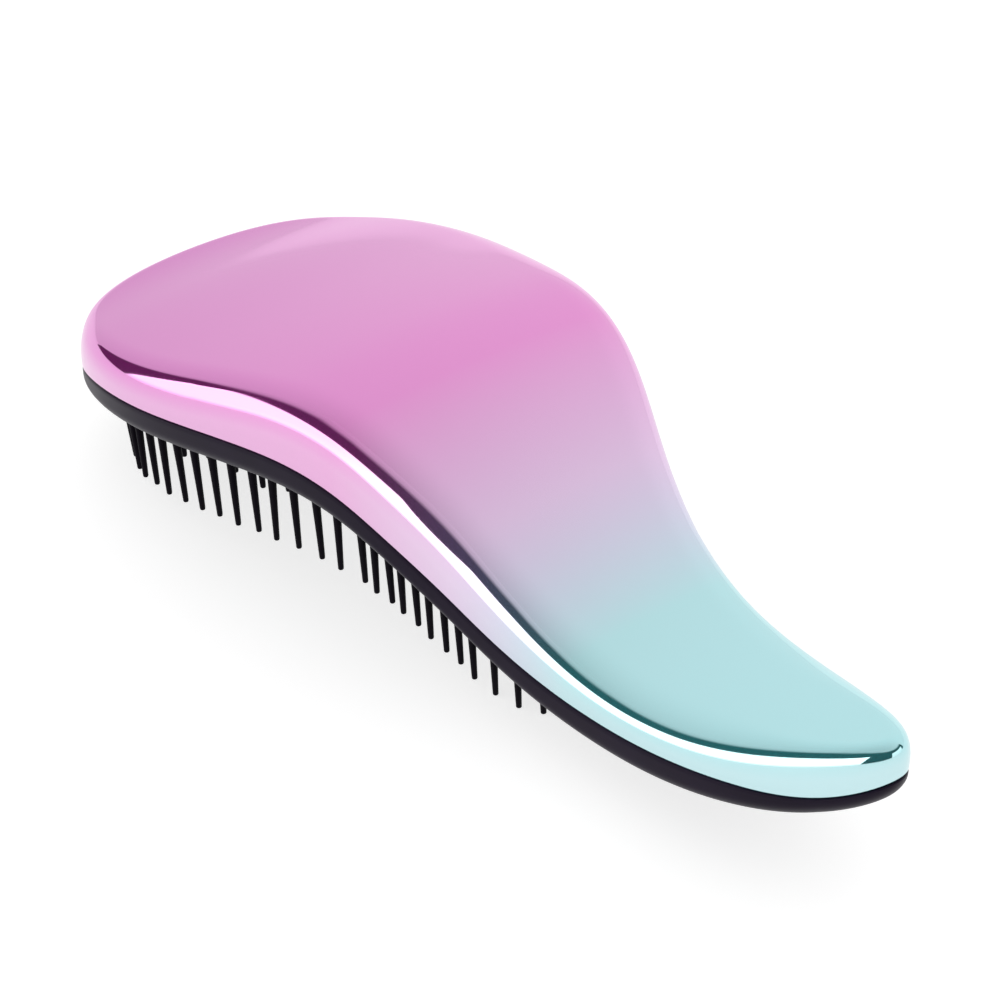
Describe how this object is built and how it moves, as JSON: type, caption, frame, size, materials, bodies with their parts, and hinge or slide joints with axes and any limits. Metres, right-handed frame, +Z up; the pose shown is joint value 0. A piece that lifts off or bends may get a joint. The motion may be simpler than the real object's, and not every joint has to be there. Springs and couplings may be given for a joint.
{
  "type": "detangling brush",
  "caption": "Handheld detangling hairbrush with an S-curved plated top cover that fades from pink to teal, a black base and a soft pad of long and short teeth",
  "frame": {"origin": "centre of the bounding box's bottom face, on the table the tooth tips touch", "axes": "+X along the brush from the nose to the tail, +Y to the side away from the picture's near side, +Z up out of the plated top"},
  "size_m": [0.186, 0.0758, 0.047],
  "materials": {
    "plated_cover": "mirror plated, fading from pink at the head to teal at the tail",
    "black_base": "satin black",
    "soft_teeth": "satin black, flexible"
  },
  "bodies": {
    "root": {"top_cover": "plated_cover", "base_shell": "black_base", "tooth_pad": "soft_teeth", "edge_teeth": "soft_teeth", "flank_teeth": "soft_teeth", "field_teeth": "soft_teeth"}
  },
  "joints": []
}
